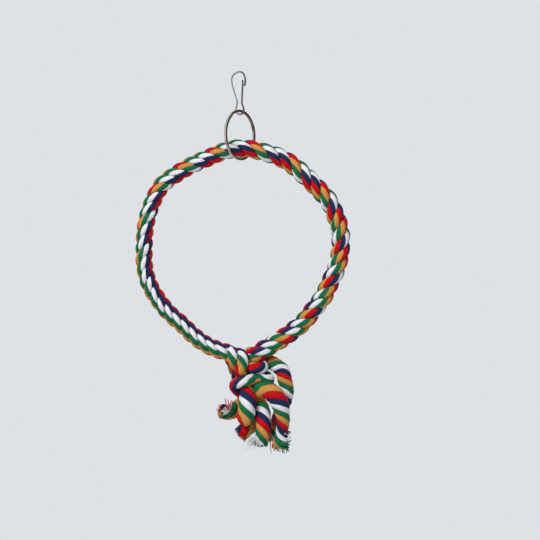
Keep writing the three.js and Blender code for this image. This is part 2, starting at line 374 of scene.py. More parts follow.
strands = []
for index in range(STRANDS):
    surface = hoop_strand_surface(index)
    strands.append(tube(f"rope_strand_{index + 1}", HOOP_SIDES, STRAND_STEPS, surface, strand_length))

# %% [markdown]
# ## The six tails
# Each strand goes on past the end of the hoop, over and under the others in the knot, and
# hangs loose. Its route goes through given points. It keeps the strand's facing at the
# joint, so the yarns run on without a break, and its own twist slackens towards the cut end.

# %% The tails' routes
# strand and end say which strand of the hoop a tail goes on from, at its end 0 or 1. The points
# are millimetres from where the hoop hangs. thick and twist are millimetres and turns at shares
# of the tail, fray is how far its yarns stand out of the cut, and dome how far the cut bulges.
TAILS = {
    "left_tail_1": dict(
        strand=2, end=0,
        route=[(-5.4, -4.8, -141.7), (-5.1, -6.6, -144.6), (-4.6, -6.6, -148),
               (-3.9, -4.7, -150.8), (-3.2, -1, -153.9), (-2.7, 2.7, -157.1),
               (-2.8, 6.2, -161), (-1, 9.2, -166), (4, 10.4, -171.2), (6.4, 9.2, -177),
               (8.4, 6.4, -183), (9.4, 3.8, -188.4), (8.2, 2.2, -192.8), (4.4, 0.6, -196.8),
               (0, -0.8, -200.4)],
        thick=[(0, 6.3), (0.12, 7.6), (0.3, 7), (0.6, 8), (0.82, 10.6), (1, 11.2)],
        twist=[(0, 0), (0.12, -0.42), (0.25, -0.75), (0.4, -1), (1, -1.98)],
        fray=(0.2, 1.4), dome=1.5,
    ),
    "left_tail_2": dict(
        strand=1, end=0,
        route=[(-3, 2, -143), (-0.4, -1.4, -143.4), (1.8, -5.6, -144.8), (2, -8.4, -148.2),
               (1.5, -8.8, -151.6), (0.8, -8.2, -154.4), (1, -4.8, -157.3), (2.4, -2.2, -161),
               (3.8, -2, -164.6), (4.5, -4.4, -168.4), (5.3, -8, -172.6), (5.5, -9.4, -177),
               (4.8, -9.4, -183), (3.5, -8.2, -190.2)],
        thick=[(0, 6.3), (0.15, 7.6), (0.5, 8.6), (0.62, 9.4), (0.78, 12.2), (1, 12.4)],
        twist=[(0, 0), (0.2, -0.46), (0.26, -0.66), (0.34, -0.98), (0.4, -1.1), (0.65, -2.14),
               (1, -3.25)],
        fray=None, dome=4,
    ),
    "left_tail_3": dict(
        strand=0, end=0,
        route=[(-6.8, 1.9, -149), (-3.8, 5.6, -151.2), (0, 9.2, -154.4), (4, 10.4, -158.6),
               (8.6, 9.4, -163.4), (11.8, 4.6, -167.2), (11.8, -1, -168.7),
               (14, -5.8, -168.7), (17.6, -7.8, -168.4), (22.5, -9.4, -170.6),
               (27.2, -9.4, -176.4), (29.8, -8, -187), (29.4, -6.6, -198), (28, -5.6, -208)],
        thick=[(0, 6.3), (0.2, 8.2), (0.45, 10.5), (0.6, 12.8), (0.7, 12.2), (0.8, 10),
               (0.89, 8.4), (0.95, 10.4), (1, 12)],
        twist=[(0, 0), (0.45, -1.68), (0.67, -2.42), (1, -3.95)],
        fray=(0.4, 4.5), dome=0.8,
    ),
    "right_tail_1": dict(
        strand=2, end=1,
        route=[(12, 5.6, -147.8), (14.4, 4.2, -151), (15.8, 0.2, -153.2), (13, -4.4, -153.8),
               (8.8, -6, -153.4), (6.2, -2.8, -153), (5.8, 1.4, -155), (9, 4.4, -157.2),
               (13.6, 4.8, -158.2), (18.2, 3.4, -159.8), (20.2, -0.4, -161.6),
               (17.4, -4, -161.8), (13.2, -5.2, -161.2), (9.4, -6.8, -161),
               (5.8, -9.6, -161.8), (2.2, -11, -162.8), (-1.4, -9.2, -163.8),
               (-3.5, -5, -165), (-3.3, -0.8, -167.2), (-0.4, 2.2, -170.2),
               (4.6, 2.6, -172.8), (9.4, 1.8, -175.4), (13.4, -0.6, -178.6), (15.8, -4, -184),
               (16.4, -6.4, -190.8), (16, -7, -198), (14.4, -6.8, -206)],
        thick=[(0, 6.3), (0.05, 8.2), (0.13, 8.6), (0.19, 7.8), (0.36, 8.4), (0.44, 7.4),
               (0.56, 7.4), (0.64, 8.2), (0.76, 10.2), (0.86, 10.8), (1, 10.6)],
        twist=[(0, 0), (0.09, -0.8), (0.17, -1.33), (0.3, -2.4), (0.36, -2.68), (0.41, -2.62),
               (0.45, -2.4), (0.507, -2.58), (0.55, -2.85), (0.58, -3.1), (0.72, -3.35),
               (0.76, -3.58), (1, -5.1)],
        fray=(0.3, 2.6), dome=0.8,
    ),
    "right_tail_2": dict(
        strand=1, end=1,
        route=[(10.6, -1.4, -147.4), (8, -1.6, -147.3), (5.2, -0.8, -147), (3.4, 1.8, -147),
               (0.5, 6.2, -146.1), (-3, 10.2, -145.5), (-5.4, 13.4, -150), (-4.6, 16, -155.4),
               (-1.6, 17.6, -161), (1.8, 18, -167), (2.6, 17.8, -173), (1.2, 15.6, -178.4),
               (-1.6, 11, -182.2), (-4.8, 6.2, -184.4), (-8.6, 2.4, -185),
               (-12.6, -0.4, -184)],
        thick=[(0, 6.3), (0.2, 8), (0.6, 7.6), (0.75, 8.8), (0.88, 10.6), (1, 10.4)],
        twist=[(0, 0), (1, -2.8)],
        fray=(0.2, 2), dome=1,
    ),
    "right_tail_3": dict(
        strand=0, end=1,
        route=[(7.8, 1.6, -142.2), (6.6, 4.2, -142.8), (6.4, 7.8, -144.4),
               (8.2, 11.6, -147.6), (13, 12.4, -150.4), (20, 8.4, -149.9),
               (24.8, 4.6, -151.9), (29.8, 2, -156.2), (31.4, 0.6, -162.4),
               (32.8, 0.6, -168.6), (32.2, 2.8, -175), (28.6, 4.8, -184), (25.4, 4.8, -194),
               (23.4, 4.2, -204)],
        thick=[(0, 6.3), (0.2, 8.6), (0.32, 10), (0.45, 10.3), (0.6, 9.9), (0.75, 9.2), (1, 9.2)],
        twist=[(0, 0), (0.3, -1.4), (0.55, -2.8), (1, -5.1)],
        fray=(0.5, 5), dome=0.8,
    ),
}
TAIL_SIDES = 100
STEPS_PER_MM = 3
LEAD = 1.9 * MM


def tail_course(tail):
    """The tail's line and frames, its half thickness and its yarns' angle, step by step."""
    end = tail["end"]
    at_joint = strand_at(tail["strand"], [float(end)])
    joint = {key: values[0] for key, values in at_joint.items()}
    slant = joint["slant"]
    forward = joint["along"] * math.cos(slant) + joint["sideways"] * math.sin(slant)
    leaving = forward if end else -forward
    start = joint["centre"]
    points = [start, start + leaving * LEAD, *rope_points(tail["route"])]
    length = travelled(smooth_line(points))[-1]
    steps = round(length / MM * STEPS_PER_MM)
    share = np.linspace(0, 1, steps + 1)
    angle = yarn_angle(tail["strand"], float(end))
    course = framed(even_line(points, steps), joint["radial"])
    course["radius"] = np.interp(share, *zip(*tail["thick"])) * MM / 2
    course["facing"] = (angle if end else -angle) + TURN * np.interp(share, *zip(*tail["twist"]))
    course["length"] = length
    course["steps"] = steps
    return course


courses = {name: tail_course(tail) for name, tail in TAILS.items()}
for name, course in courses.items():
    print(f"{name}: {1000 * course['length']:.1f} mm")

# %% [markdown]
# ## Soft contact
# Cotton strands that press on each other go flat where they touch. Each ring of a tail is cut
# back to the plane halfway to each strand beside it, weighed by how thick the two are, so the
# tails fill the knot and no strand runs through another.

# %% Soft contact
NEAR_JOINT = 14 * MM
LEAST_SHARE = 0.32
LEAST_FACING = 0.15
SAME_PLACE = 1e-6
HOOP_END_SHARE = 0.045
HOOP_END_STEPS = 24
STEPS_APART = 3


def strand_places(name):
    """How far along its strand each step of a tail is, from the strand's start in the hoop."""
    end = TAILS[name]["end"]
    return travelled(courses[name]["line"]) * (1 if end else -1) + end * strand_length


def neighbours():
    """Centres along the tails and the hoop's ends, with their half thickness, place and strand."""
    rows = []
    for name, course in courses.items():
        strand = np.full(course["steps"] + 1, TAILS[name]["strand"])
        row = (course["line"], course["radius"], strand_places(name), strand)
        rows.append([values[::STEPS_APART] for values in row])
    for index in range(STRANDS):
        for first, last in ((0, HOOP_END_SHARE), (1 - HOOP_END_SHARE, 1)):
            share = np.linspace(first, last, HOOP_END_STEPS)
            here = strand_at(index, share)
            strand = np.full(HOOP_END_STEPS, index)
            rows.append([here["centre"], STRAND_RADIUS * here["size"], share * strand_length, strand])
    return [np.concatenate(column) for column in zip(*rows)]


around_centres, around_radii, around_places, around_strand = neighbours()
print(f"soft contact: {len(around_centres)} places that a tail can press on")


def pressed_reach(name):
    """How far each point of each ring of a tail reaches, as rows of rings."""
    course = courses[name]
    own_places = strand_places(name)
    around = np.arange(TAIL_SIDES) / TAIL_SIDES
    rows = []
    for step in range(course["steps"] + 1):
        radius = course["radius"][step]
        angle = TURN * around + course["facing"][step]
        spokes = (course["normals"][step] * np.cos(angle)[:, None]
                  + course["binormals"][step] * np.sin(angle)[:, None])
        to_others = around_centres - course["line"][step]
        distance = np.linalg.norm(to_others, axis=1)
        close_by = np.abs(around_places - own_places[step]) < NEAR_JOINT
        own = (around_strand == TAILS[name]["strand"]) & close_by
        beside = (distance < radius + around_radii) & ~own & (distance > SAME_PLACE)
        reach = np.full(TAIL_SIDES, radius)
        if beside.any():
            gap, others = distance[beside], around_radii[beside]
            plane = np.clip((gap**2 + radius**2 - others**2) / (2 * gap), LEAST_SHARE * gap, None)
            facing = spokes @ (to_others[beside] / gap[:, None]).T
            cut_back = plane / np.maximum(facing, LEAST_FACING)
            limits = np.where(facing > LEAST_FACING, cut_back, np.inf)
            reach = np.minimum(reach, limits.min(axis=1))
        rows.append(reach)
    return np.array(rows)


def softened(rows, times):
    """Evens out a field of rings a little, round the tube and along it."""
    for _ in range(times):
        rows = (np.roll(rows, 1, axis=1) + 2 * rows + np.roll(rows, -1, axis=1)) / 4
        ends = np.vstack([rows[:1], rows, rows[-1:]])
        rows = (ends[:-2] + 2 * ends[1:-1] + ends[2:]) / 4
    return rows


# %% The tails' meshes
LOBE_DEPTHS_ALONG = ([0, 0.3, 1], [LOBE_DEPTH_SHARE, 0.07, 0.10])
DOME_STEPS_SHARE = 0.045
DOME_TIP_SHARE = 0.05
TIMES_SOFTENED = 3


def tail_surface(name):
    """Rings that reach as far as the neighbours let them, drawn in to a dome at the cut."""
    course = courses[name]
    reach_rows = softened(pressed_reach(name), TIMES_SOFTENED)
    reach_rows = np.hstack([reach_rows, reach_rows[:, :1]])

    def surface(around, share):
        step = np.rint(share * course["steps"]).astype(int)
        side = np.rint(around * TAIL_SIDES).astype(int)
        swell = lobed(around, np.interp(share, *LOBE_DEPTHS_ALONG))
        closing = np.clip(1 - (1 - share) / DOME_STEPS_SHARE, 0, 1) * math.pi / 2
        reach = reach_rows[step, side] * swell * np.maximum(np.cos(closing), DOME_TIP_SHARE)
        places = round_line(course, step, TURN * around + course["facing"][step], reach)
        ahead = TAILS[name]["dome"] * MM * np.sin(closing)
        return places + course["along"][-1] * ahead[:, None]
    return surface


tails = {}
for name, course in courses.items():
    tails[name] = tube(name.replace("tail", "tail_cotton"), TAIL_SIDES, course["steps"],
                       tail_surface(name), course["length"], mirrored=not TAILS[name]["end"])

# %% [markdown]
# ## Frayed ends
# A cut strand opens into its yarns. A particle system would strew hairs without any order, so
# each yarn is a thin tube of its own. It starts inside the tail, in its bundle, and runs a
# little past the cut, where it bends away.

# %% Frayed ends
FRAY_START = 9 * MM
YARN_RADIUS = 0.46 * MM
YARN_TAPER_SHARE = 0.45
YARN_SIDES = 6
YARN_STEPS = 16
YARN_MAP_MM = 14
FIRST_SEED = 11
ASLANT = [0.3, 0.5, 0.8]

# How many yarns lie at each share of the tail's half thickness, and how far back and how far
# out each yarn's points lie before the cut, as shares.
YARN_RINGS = [(30, 0.93), (15, 0.62), (5, 0.25)]
YARN_COURSE_SHARES = [(1, 0.8), (0.66, 0.88), (0.33, 0.95), (0, 1)]

# How freely the yarns stray, each alone and a whole bundle together.
DEPTH_SPREAD = (0.97, 1.05)
MOST_OUTWARD = 0.45
YARN_BEND = 0.16
BUNDLE_LEAN = 0.28
BUNDLE_SAG = (0, 0, -0.2)
BUNDLE_LENGTHS = (0.45, 1)
BUNDLE_MARGIN = 0.15


def yarn_surface(line, radius):
    """A thin round tube along a line, thinner at its far end."""
    course = framed(line, unit(np.cross(directions(line)[0], ASLANT)))

    def surface(around, share):
        step = np.rint(share * (len(line) - 1)).astype(int)
        thick = radius * (1 - YARN_TAPER_SHARE * share**3)
        return round_line(course, step, TURN * around, thick)
    return surface


def bundle_map(bundle, margin, mirrored=False):
    """Keeps a yarn's map in one bundle's colour, with a margin to the colours beside it."""
    def map_place(around, share):
        place = (bundle + margin + (1 - 2 * margin) * np.abs(2 * around - 1)) / BUNDLES
        return (1 - place if mirrored else place), share * YARN_MAP_MM
    return map_place


def add_yarn(sheet, map_layer, line, radius, map_place):
    add_grid(sheet, map_layer, YARN_SIDES, len(line) - 1, yarn_surface(line, radius), map_place)


def yarn_line(name, around, depth, lean, extra, chance):
    """From inside the tail to past its cut, where the yarn leans away."""
    course = courses[name]
    last = course["steps"]
    points = []
    for back, spread in YARN_COURSE_SHARES:
        step = round(last * (1 - back * FRAY_START / course["length"]))
        angle = TURN * around + course["facing"][step]
        points.append(round_line(course, step, angle, course["radius"][step] * depth * spread))
    outward = unit(points[-1] - course["line"][last])
    ahead = unit(course["along"][last] + outward * chance.uniform(0, MOST_OUTWARD) + lean)
    points.append(points[-1] + ahead * extra / 2)
    points.append(points[-1] + unit(ahead + chance.normal(0, YARN_BEND, 3)) * extra / 2)
    return even_line(points, YARN_STEPS)


def frayed_end(name, seed):
    tail = TAILS[name]
    chance = np.random.default_rng(seed)
    sheet, map_layer = new_sheet()
    leans = chance.normal(0, BUNDLE_LEAN, (BUNDLES, 3)) + BUNDLE_SAG
    lengths = chance.uniform(*BUNDLE_LENGTHS, BUNDLES)
    for count, ring_depth in YARN_RINGS:
        for index in range(count):
            around = (index + 0.5) / count
            bundle = math.floor(around * BUNDLES)
            extra = chance.uniform(*tail["fray"]) * lengths[bundle] * MM
            depth = ring_depth * chance.uniform(*DEPTH_SPREAD)
            line = yarn_line(name, around, depth, leans[bundle], extra, chance)
            map_place = bundle_map(bundle, BUNDLE_MARGIN, mirrored=not tail["end"])
            add_yarn(sheet, map_layer, line, YARN_RADIUS, map_place)
    return closed_piece(name.replace("tail", "frayed_end"), sheet)


frayed_ends = {
    name: frayed_end(name, seed)
    for seed, name in enumerate(TAILS, FIRST_SEED)
    if TAILS[name]["fray"]
}

# %% [markdown]
# ## Loose threads
# A few single threads have slipped out beside the tails and at a small cut. Tufts of yarn sweep
# to the right out of the longest left tail's cut, and a wisp of white fibres stands off the
# longest right tail's. Each thread is a yarn along a few listed points, given as the
# tails' are, and its thickness is in millimetres too.

# %% Loose threads
THREADS = [
    ("navy", 0.6, [(24.6, -9.6, -180.6), (23.9, -10.2, -184.5), (23.3, -9.6, -189), (23.6, -8.6, -194.6)]),
    ("navy", 0.5, [(24.6, -11.4, -186.4), (25.2, -13, -187.6), (26, -14.4, -188.8), (26.8, -14.9, -190.2)]),
    ("tan", 0.7, [(22.2, 1.4, -199), (21.6, 0.2, -204), (21.2, -0.6, -209), (22, -0.9, -213.4)]),
    ("tan", 0.7, [(24.2, 0.6, -200), (24, -0.4, -205), (24.4, -1, -209), (23.8, -1.4, -212.2)]),
    ("red", 0.9, [(-8.6, -3.2, -183), (-9.6, -4.6, -179.9), (-9.8, -4.6, -177.4), (-10.6, -4.2, -174.6)]),
    ("red", 0.8, [(-7.6, -3.2, -182), (-8.2, -4.8, -179.2), (-8, -4.8, -177), (-9, -4.4, -175)]),
    ("red", 0.9, [(-6.6, -3, -181.4), (-7, -4.4, -178.9), (-6.4, -4.6, -177.4), (-5.4, -4.4, -176)]),
    ("red", 0.8, [(-5.4, -2.6, -180.8), (-5.6, -4, -178.4), (-4.6, -4.2, -177.2), (-3.2, -4, -176.2)]),
    ("navy", 0.9, [(-10, -3, -184), (-11.2, -4, -182.6), (-11.8, -4, -181.4), (-12.6, -3.8, -180.2)]),
    ("navy", 0.9, [(30.8, -11.2, -197), (33.2, -10.8, -197.6), (34.4, -10, -197.2), (35.6, -9.4, -198.6)]),
    ("white", 0.9, [(31, -11, -198.6), (33.4, -10.4, -199.8), (34.8, -9.6, -200.4), (35.4, -9.2, -202.4)]),
    ("navy", 1.1, [(11, -9.2, -205.4), (12.4, -9.8, -207), (14.2, -9.9, -207.7), (15.9, -9.5, -207.8)]),
    ("navy", 1, [(11.8, -8.6, -204.8), (13.3, -9.2, -206.2), (15, -9.3, -206.8), (16.6, -9, -206.8)]),
    ("navy", 0.9, [(25.4, -8.6, -205.4), (25, -9, -208), (26.4, -9, -210.4), (28.2, -8.6, -211.6)]),
    ("navy", 1.3, [(26.6, -10.8, -194.2), (27.8, -11.4, -197.4), (30.4, -11.5, -199.6),
                   (33, -10.6, -199.2), (34.8, -10, -198)]),
    ("white", 1.3, [(25.4, -10.4, -196.6), (27, -11.6, -200.6), (30.2, -12, -202.6),
                    (33, -11, -202), (35.2, -10.2, -200.6)]),
    ("white", 1.2, [(26.2, -10.2, -199), (28.4, -11.9, -202.2), (31.4, -11.8, -203.4),
                    (35, -10.4, -202.8)]),
    ("green", 1.4, [(24.4, -9.4, -199.4), (26.2, -11.2, -203.2), (29.8, -12, -205.4),
                    (33, -11, -205), (35.6, -9.8, -203.6)]),
    ("green", 1.4, [(25, -9.6, -202), (27.4, -11.6, -205.2), (31, -11.8, -206.8), (35, -9.8, -206.2)]),
    ("green", 1.3, [(24.6, -8.8, -203.4), (26.6, -10.8, -206.6), (30, -11, -208.4), (34.4, -9, -208.6)]),
    ("tan", 0.9, [(24.4, -9, -204.6), (26.4, -10.6, -207.4), (29.4, -10.8, -209.2), (32.6, -9.6, -209.8)]),
    ("green", 0.9, [(32.6, -8, -204), (33.6, -8.4, -207), (33.2, -8.6, -209.6), (34.4, -8.2, -211.4)]),
]
THREAD_STEPS = 30
THREAD_MARGIN = 0.35
WISP_FIBRES = 60
WISP_THICK = 0.18 * MM
WISP_LENGTHS = (3, 9)
WISP_STEPS = 10
WISP_START = (9.6, -11.2, -201.5)
WISP_SPREAD = 1.3
WISP_AIM = (-0.35, -0.2, -0.9)
WISP_LEAN = 0.28
WISP_BEND = 0.5
WISP_SEED = 5


def wisp_fibre(chance):
    """The line of one fibre, with a soft bend half way."""
    start = rope_points(WISP_START) + chance.normal(0, WISP_SPREAD, 3) * MM
    ahead = unit(WISP_AIM + chance.normal(0, WISP_LEAN, 3))
    bent = unit(ahead + chance.normal(0, WISP_BEND, 3))
    half = chance.uniform(*WISP_LENGTHS) * MM / 2
    return even_line([start, start + ahead * half, start + (ahead + bent) * half], WISP_STEPS)


def loose_threads():
    sheet, map_layer = new_sheet()
    maps = {
        colour: bundle_map(bundle, THREAD_MARGIN)
        for bundle, colour in enumerate(YARN_COLOURS)
    }
    for colour, thick, route in THREADS:
        line = even_line(rope_points(route), THREAD_STEPS)
        add_yarn(sheet, map_layer, line, thick * MM / 2, maps[colour])
    chance = np.random.default_rng(WISP_SEED)
    for _ in range(WISP_FIBRES):
        add_yarn(sheet, map_layer, wisp_fibre(chance), WISP_THICK / 2, maps["white"])
    return closed_piece("loose_threads", sheet)


threads = loose_threads()

# %% [markdown]
# ## The clip and the ring
# Both are bent from wire, so they are tubes too. The clip is one round wire: its last leg is the
# gate, which springs about the lower bend, so body and gate both end in a ball there and the
# wire stays whole when the gate is pressed. The ring is one flat wire in two turns.

# %% Wires
WIRE_SIDES = 20
STEPS_PER_MM_OF_WIRE = 8
CLIP_WIRE = 1.3 * MM
EYE_WIDTH = 9.9 * MM
LOWER_EYE_WIDTH = 5.6 * MM
clip_drop = -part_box("clip_body")[0][2]

# Shares of the eye's width to the right, and of the clip's drop downwards.
UPPER_EYE = [
    (0.325, 0.335), (0.37, 0.24), (0.362, 0.15), (0.29, 0.07), (0.17, 0.02), (-0.03, 0),
    (-0.26, 0.022), (-0.47, 0.08), (-0.585, 0.165), (-0.56, 0.27), (-0.46, 0.4), (-0.33, 0.54),
    (-0.2, 0.68),
]
LOWER_EYE = [
    (-0.4, 0.79), (-0.5, 0.88), (-0.44, 0.95), (-0.22, 0.99), (-0.02, 1), (0.2, 0.99),
    (0.42, 0.95), (0.47, 0.88), (0.34, 0.79), (0.22, 0.73),
]
GATE_TIP = (0.2, 0.21)
GATE_SHARES = (0, 0.3, 0.6, 1)
BLUNT_SHARE = 0.3
BALL_TIP_SHARE = 0.02


def clip_place(across, down, width):
    return np.array([across * width, 0, CLIP_WIRE / 2 - down * clip_drop])


def wire_surface(line, radius, ends):
    """A round wire whose two ends are each a ball or a blunt cut with a worn edge."""
    length = travelled(line)[-1]
    course = framed(line, FRONT)

    def closing(distance, end):
        far = radius if end == "ball" else radius * BLUNT_SHARE
        beyond = np.clip(1 - distance / far, 0, 1)
        least = BALL_TIP_SHARE if end == "ball" else 1 - BLUNT_SHARE
        return np.maximum(np.sqrt(1 - beyond**2), least)

    def surface(around, share):
        step = np.rint(share * (len(line) - 1)).astype(int)
        reach = radius * closing(share * length, ends[0]) * closing((1 - share) * length, ends[1])
        return round_line(course, step, TURN * around, reach)
    return surface


def wire(name, points, radius, ends):
    """A piece of round wire; a ball end goes on past its point by the wire's own radius."""
    points = np.array(points)
    if ends[0] == "ball":
        points[0] -= unit(points[1] - points[0]) * radius
    if ends[1] == "ball":
        points[-1] += unit(points[-1] - points[-2]) * radius
    length = travelled(smooth_line(points))[-1]
    steps = round(length / MM * STEPS_PER_MM_OF_WIRE)
    return tube(name, WIRE_SIDES, steps, wire_surface(even_line(points, steps), radius, ends), length)


clip_points = [clip_place(*shares, EYE_WIDTH) for shares in UPPER_EYE]
clip_points += [clip_place(*shares, LOWER_EYE_WIDTH) for shares in LOWER_EYE]
clip_body = wire("clip_wire", clip_points, CLIP_WIRE / 2, ("blunt", "ball"))
gate_foot = clip_points[-1]
gate_leg = clip_place(*GATE_TIP, EYE_WIDTH) - gate_foot
gate_points = [gate_foot + gate_leg * share for share in GATE_SHARES]
clip_gate = wire("clip_gate_leg", gate_points, CLIP_WIRE / 2, ("ball", "ball"))

# %% The split ring
RING_WIRE = (2 * MM, 0.7 * MM)
RING_LAYER = 0.38 * MM
RING_TURNS = 1.88
RING_FIRST_TURN = 0.1
RING_STEP = (0.86, 0.97)
RING_SECTION_POWER = 0.3
RING_SIDES = 32
RING_STEPS = 900
WORN_END_SHARE = 0.8
WORN_STEPS = 2
UP = np.array([0, 0, 1.0])

ring_joint = joint_named("ring_swing")
ring_side = -np.array(ring_joint["axis"])
ring_axis = np.array([-ring_side[1], ring_side[0], 0])
ring_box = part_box("split_ring")
ring_reach = (ring_box[1][2] - ring_box[0][2] - RING_WIRE[0]) / 2
ring_centre = np.array(ring_joint["pos_m"]) - UP * ring_reach


def ring_surface(around, share):
    """A flat wire in two layers, which changes over from one to the other in a short step."""
    turns = RING_TURNS * share
    turn = TURN * (turns + RING_FIRST_TURN)
    step = np.clip((turns - RING_STEP[0]) / (RING_STEP[1] - RING_STEP[0]), 0, 1)
    layer = RING_LAYER * (1 - 2 * step**2 * (3 - 2 * step))
    outward = ring_side * np.sin(turn)[:, None] + UP * np.cos(turn)[:, None]
    cos, sin = np.cos(TURN * around), np.sin(TURN * around)
    end = np.clip(np.minimum(share, 1 - share) * RING_STEPS / WORN_STEPS, 0, 1)
    worn = WORN_END_SHARE + (1 - WORN_END_SHARE) * end
    height = np.sign(cos) * np.abs(cos)**RING_SECTION_POWER * RING_WIRE[0] / 2 * worn
    thick = np.sign(sin) * np.abs(sin)**RING_SECTION_POWER * RING_WIRE[1] / 2 * worn
    return (ring_centre + outward * (ring_reach + height)[:, None]
            + ring_axis * (layer + thick)[:, None])


ring_length = TURN * ring_reach * RING_TURNS
split_ring = tube("ring_wire", RING_SIDES, RING_STEPS, ring_surface, ring_length)

# %% [markdown]
# ## Cotton
# The strand is five bundles of dyed yarn side by side. The piece's own map holds the way round
# in u and the millimetres along in v, so a colour ramp over u paints the five bundles. A node
# group works out the rest from the same map: where a yarn wanders over its bundle's edge, the
# furrows between yarns with painted shade darkening them, the slant of their plies and the loose
# fluff. A noise laid over the object would not follow the yarns round the knot, so the noises
# read the map bent to a circle.

# %% Node helpers
def new_node(tree, kind, **settings):
    node = tree.nodes.new(kind)
    for key, value in settings.items():
        setattr(node, key, value)
    return node


def feed(tree, socket, value):
    """Links a socket's value, or sets a plain one."""
    if isinstance(value, bpy.types.NodeSocket):
        tree.links.new(value, socket)
    else:
        socket.default_value = value


def maths(tree, operation, *values, clamp=False):
    node = new_node(tree, "ShaderNodeMath", operation=operation, use_clamp=clamp)
    for socket, value in zip(node.inputs, values):
        feed(tree, socket, value)
    return node.outputs[0]


def scaled(tree, value, factor):
    return maths(tree, "MULTIPLY", value, factor)


def ranged(tree, value, first, last, most=1):
    """0 up to the first value, the most from the last one on, and an even rise between."""
    node = new_node(tree, "ShaderNodeMapRange")
    feed(tree, node.inputs["Value"], value)
    feed(tree, node.inputs["From Min"], first)
    feed(tree, node.inputs["From Max"], last)
    feed(tree, node.inputs["To Max"], most)
    return node.outputs[0]


def joined(tree, x, y, z):
    node = new_node(tree, "ShaderNodeCombineXYZ")
    for socket, value in zip(node.inputs, (x, y, z)):
        feed(tree, socket, value)
    return node.outputs[0]


def noise(tree, vector, scale, detail):
    node = new_node(tree, "ShaderNodeTexNoise")
    feed(tree, node.inputs["Vector"], vector)
    feed(tree, node.inputs["Scale"], scale)
    feed(tree, node.inputs["Detail"], detail)
    return node.outputs["Fac"]


def circle_of(tree, around, radius=1):
    """The way round bent to a circle, so that a noise meets itself at the seam."""
    angle = scaled(tree, around, TURN)
    return [scaled(tree, maths(tree, wave, angle), radius) for wave in ("COSINE", "SINE")]


def blended(tree, share, first, second, kind="MIX"):
    node = new_node(tree, "ShaderNodeMix", data_type="RGBA", blend_type=kind)
    feed(tree, node.inputs["Factor"], share)
    colours = [socket for socket in node.inputs if socket.type == "RGBA"]
    feed(tree, colours[0], first)
    feed(tree, colours[1], second)
    return next(socket for socket in node.outputs if socket.type == "RGBA")


def relief(tree, height, strength, depth):
    node = new_node(tree, "ShaderNodeBump")
    feed(tree, node.inputs["Strength"], strength)
    feed(tree, node.inputs["Distance"], depth)
    feed(tree, node.inputs["Height"], height)
    return node.outputs["Normal"]


def new_group(name, inputs, outputs):
    group = bpy.data.node_groups.new(name, "ShaderNodeTree")
    for label, value in inputs.items():
        socket = group.interface.new_socket(label, in_out="INPUT", socket_type="NodeSocketFloat")
        socket.default_value = value
    for label in outputs:
        group.interface.new_socket(label, in_out="OUTPUT", socket_type="NodeSocketFloat")
    ins = group.nodes.new("NodeGroupInput").outputs
    outs = group.nodes.new("NodeGroupOutput").inputs
    return group, ins, outs


def on_own_map(tree, group):
    """Places a group that reads the piece's own map: the way round it and the way along."""
    place = new_node(tree, "ShaderNodeUVMap", uv_map="yarn")
    split = new_node(tree, "ShaderNodeSeparateXYZ")
    node = new_node(tree, "ShaderNodeGroup", node_tree=group)
    feed(tree, split.inputs[0], place.outputs["UV"])
    feed(tree, node.inputs["Around"], split.outputs["X"])
    feed(tree, node.inputs["Along"], split.outputs["Y"])
    return node


def new_material(name):
    material = bpy.data.materials.new(name)
    material.use_nodes = True
    tree = material.node_tree
    return material, tree, tree.nodes["Principled BSDF"]


# %% Spun cotton
STRAND_MM = 3.2
YARNS_IN_BUNDLE = 7
PLY_SLANT = 3.4
FRINGE = 0.045
# Painted shade in the furrows between bundles and the gaps between yarns: how narrow it is and how dark.
# Also how dark the tan's flecks are.
FURROW_POWER, GAP_POWER = 5, 3
FURROW_SHADE, GAP_SHADE, SPECK_DARK = 0.42, 0.22, 0.3
LEAST_LIGHT, STREAK_LIGHT = 0.80, 0.40
SPECKS_AROUND, SPECK_SCALE, SPECK_DETAIL, SPECK_FROM = 20, 1.3, 1, 0.70
FLUFF_FROM, FLUFF_FULL = 0.5, 0.8
RIDGE_HEIGHT, PLY_HEIGHT, STREAK_HEIGHT = 0.55, 0.22, 0.5

# Each noise's pace along the yarns, which is slow where it is drawn out, its scale and detail.
WANDER, STREAK, FLUFF = (0.22, 0.9, 2), (0.06, 7, 3), (0.8, 2.6, 4)


